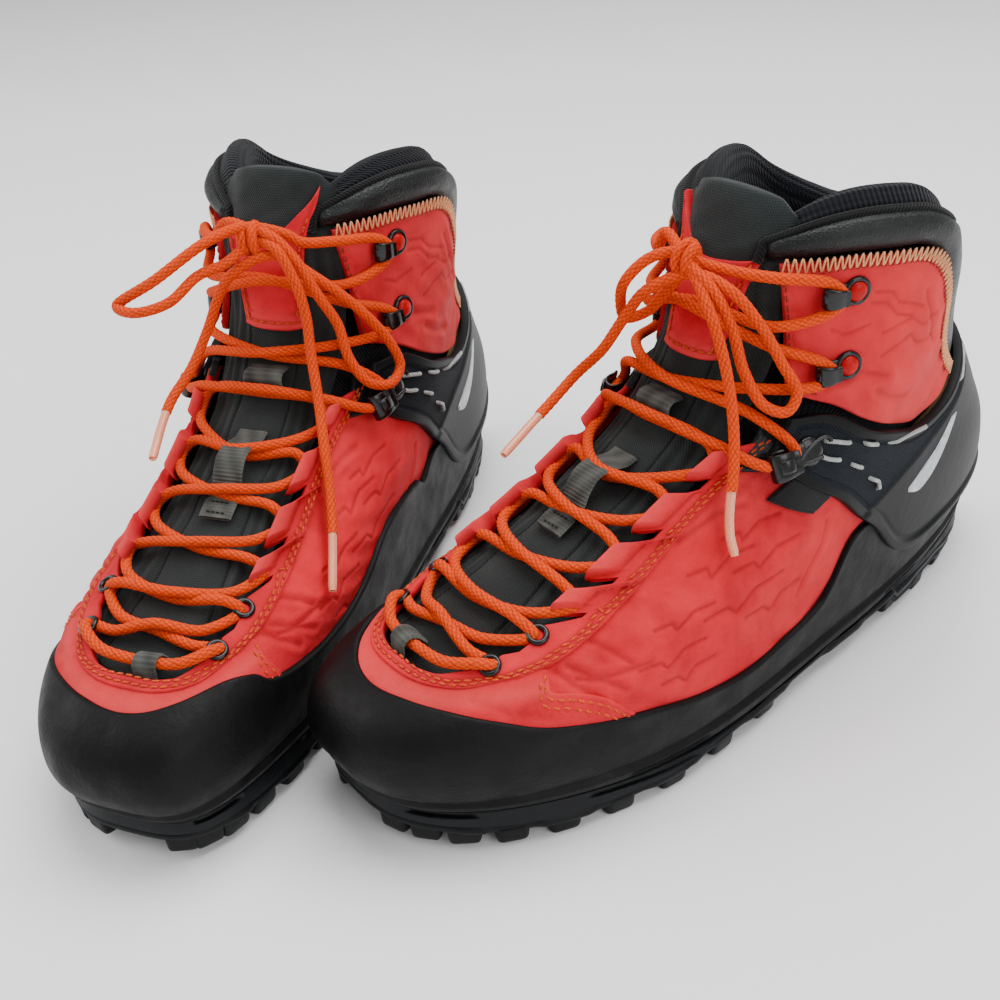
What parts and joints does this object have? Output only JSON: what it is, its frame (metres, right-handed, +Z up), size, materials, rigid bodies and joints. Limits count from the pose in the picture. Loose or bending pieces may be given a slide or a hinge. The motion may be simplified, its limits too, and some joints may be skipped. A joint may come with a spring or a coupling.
{
  "type": "pair of mountaineering boots",
  "caption": "Pair of laced mid-height leather mountaineering boots with a black rubber rand, heel cage, lugged sole and orange laces.",
  "frame": {"origin": "middle of the pair's box on the floor plane, at the underside of the lugs", "axes": "+Z up, toes towards -Y, the wearer's left boot at +X"},
  "size_m": [0.2638, 0.3336, 0.1694],
  "materials": {
    "sole_rubber": "satin black moulded rubber with a faint blue sheen",
    "midsole_foam": "satin black moulded foam",
    "shank_steel": "plain spring steel",
    "board": "fibre board",
    "footbed_foam": "moulded foam with a knitted top",
    "mesh_lining": "black ribbed spacer mesh",
    "coral_leather": "coral red nubuck, matte and cloudy",
    "collar_leather": "smooth dark green-black leather, satin",
    "softshell": "matte stretch woven softshell, dark grey-green",
    "webbing": "grey ribbed webbing",
    "rand_rubber": "satin black rubber",
    "cage_tpu": "satin black moulded plastic",
    "cable": "light grey coated cable",
    "label": "blank black woven label",
    "black_metal": "glossy black with a red enamel rivet cap",
    "lace": "orange round braided lace",
    "aglet": "translucent pale orange sleeve"
  },
  "bodies": {
    "left_boot": {"left_outsole": "sole_rubber", "left_midsole": "midsole_foam", "left_shank": "shank_steel", "left_insole_board": "board", "left_footbed": "footbed_foam", "left_toe_puff": "board", "left_heel_counter": "board", "left_lining": "mesh_lining", "left_collar_lining": "mesh_lining", "left_vamp": "coral_leather", "left_quarter_lateral": "coral_leather", "left_quarter_medial": "coral_leather", "left_eyestay": "coral_leather", "left_cuff_lateral": "coral_leather", "left_cuff_medial": "coral_leather", "left_collar_cover": "collar_leather", "left_tongue": "softshell", "left_tongue_pad": "softshell", "left_tongue_patch": "coral_leather", "left_webbing_loops": "webbing", "left_rand": "rand_rubber", "left_heel_cage": "cage_tpu", "left_cage_cables": "cable", "left_flag_label": "label", "left_ring_eyelets": "black_metal", "left_lace_hooks": "black_metal", "left_lock_hooks": "black_metal", "left_lace_outer": "lace", "left_lace_inner": "lace", "left_aglets": "aglet"},
    "right_boot": {"right_outsole": "sole_rubber", "right_midsole": "midsole_foam", "right_shank": "shank_steel", "right_insole_board": "board", "right_footbed": "footbed_foam", "right_toe_puff": "board", "right_heel_counter": "board", "right_lining": "mesh_lining", "right_collar_lining": "mesh_lining", "right_vamp": "coral_leather", "right_quarter_lateral": "coral_leather", "right_quarter_medial": "coral_leather", "right_eyestay": "coral_leather", "right_cuff_lateral": "coral_leather", "right_cuff_medial": "coral_leather", "right_collar_cover": "collar_leather", "right_tongue": "softshell", "right_tongue_pad": "softshell", "right_tongue_patch": "coral_leather", "right_webbing_loops": "webbing", "right_rand": "rand_rubber", "right_heel_cage": "cage_tpu", "right_cage_cables": "cable", "right_flag_label": "label", "right_ring_eyelets": "black_metal", "right_lace_hooks": "black_metal", "right_lock_hooks": "black_metal", "right_lace_outer": "lace", "right_lace_inner": "lace", "right_aglets": "aglet"}
  },
  "joints": [
    {"name": "boot_spacing", "type": "slide", "parent": "left_boot", "child": "right_boot", "axis": [-1, 0, 0], "range_m": [0, 0.2]}
  ]
}
